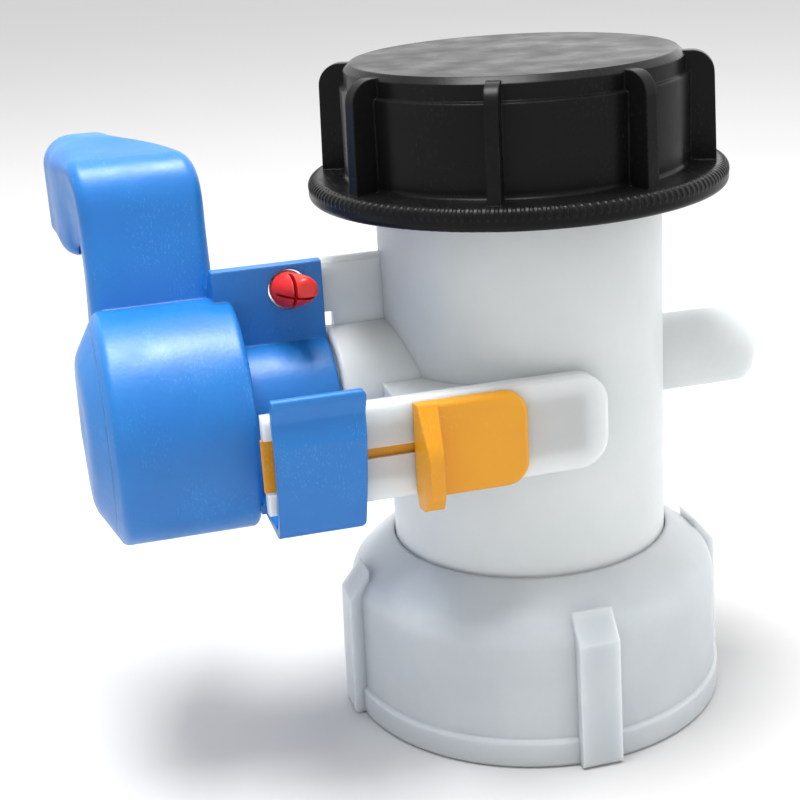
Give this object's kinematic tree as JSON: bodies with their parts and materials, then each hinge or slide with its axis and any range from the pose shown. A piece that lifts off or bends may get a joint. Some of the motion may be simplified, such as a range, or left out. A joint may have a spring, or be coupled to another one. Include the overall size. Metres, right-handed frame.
{
  "type": "bulk tank outlet butterfly valve",
  "caption": "Plastic butterfly outlet valve for a bulk liquid tank, with a union nut, a lever handle with a pull pin and slide lock, and a black screw cap on its threaded outlet.",
  "frame": {"origin": "centre of the union nut's open end, where the valve goes onto the tank's outlet; Z is the pipe's axis", "axes": "+Z the way the liquid leaves, towards the screw cap; the stem lies along X with the handle at -X; the slide lock faces -Y"},
  "size_m": [0.1473, 0.0935, 0.142],
  "materials": {
    "natural_hdpe": "satin, milky natural polyethylene",
    "bush_white": "satin",
    "white_pp": "satin",
    "white_foam": "matte",
    "black_rubber": "matte",
    "black_cap": "gloss moulded",
    "blue_hdpe": "satin, lightly scuffed",
    "red_pp": "satin",
    "yellow_pp": "satin",
    "steel": "brushed stainless"
  },
  "bodies": {
    "valve": {"valve_body": "natural_hdpe", "stem_bush": "bush_white", "pivot_bush": "bush_white", "nut_retaining_ring": "natural_hdpe", "tank_gasket": "black_rubber"},
    "union": {"union_nut": "natural_hdpe"},
    "handle": {"handle": "blue_hdpe", "hub_cover": "blue_hdpe", "handle_washer": "steel", "handle_screw": "steel", "stem": "white_pp", "stem_o_ring_inner": "black_rubber", "stem_o_ring_outer": "black_rubber", "stem_retaining_clip": "steel", "butterfly_disc": "white_pp", "disc_screws": "steel", "disc_seal": "black_rubber"},
    "pin": {"safety_pin": "red_pp"},
    "latch": {"latch_slide": "yellow_pp"},
    "cap_seal": {"cap_gasket": "white_foam"},
    "cap": {"screw_cap": "black_cap"}
  },
  "joints": [
    {"name": "handle_turn", "type": "hinge", "parent": "valve", "child": "handle", "pos_m": [0, 0, 0.0735], "axis": [1, 0, 0], "range_deg": [0, 90]},
    {"name": "union_turn", "type": "hinge", "parent": "valve", "child": "union", "pos_m": [0, 0, 0], "axis": [0, 0, 1], "continuous": true},
    {"name": "pin_pull", "type": "slide", "parent": "handle", "child": "pin", "axis": [0, -1, 0], "range_m": [0, 0.014]},
    {"name": "latch_draw", "type": "slide", "parent": "valve", "child": "latch", "axis": [1, 0, 0], "range_m": [0, 0.014]},
    {"name": "cap_lift", "type": "slide", "parent": "valve", "child": "cap_seal", "axis": [0, 0, 1], "range_m": [0, 0.06]},
    {"name": "cap_turn", "type": "hinge", "parent": "cap_seal", "child": "cap", "pos_m": [0, 0, 0.12], "axis": [0, 0, 1], "range_deg": [0, 3600]}
  ],
  "couplings": [
    {"joint": "cap_lift", "follows": "cap_turn", "m_per_rad": 0.00095493}
  ]
}
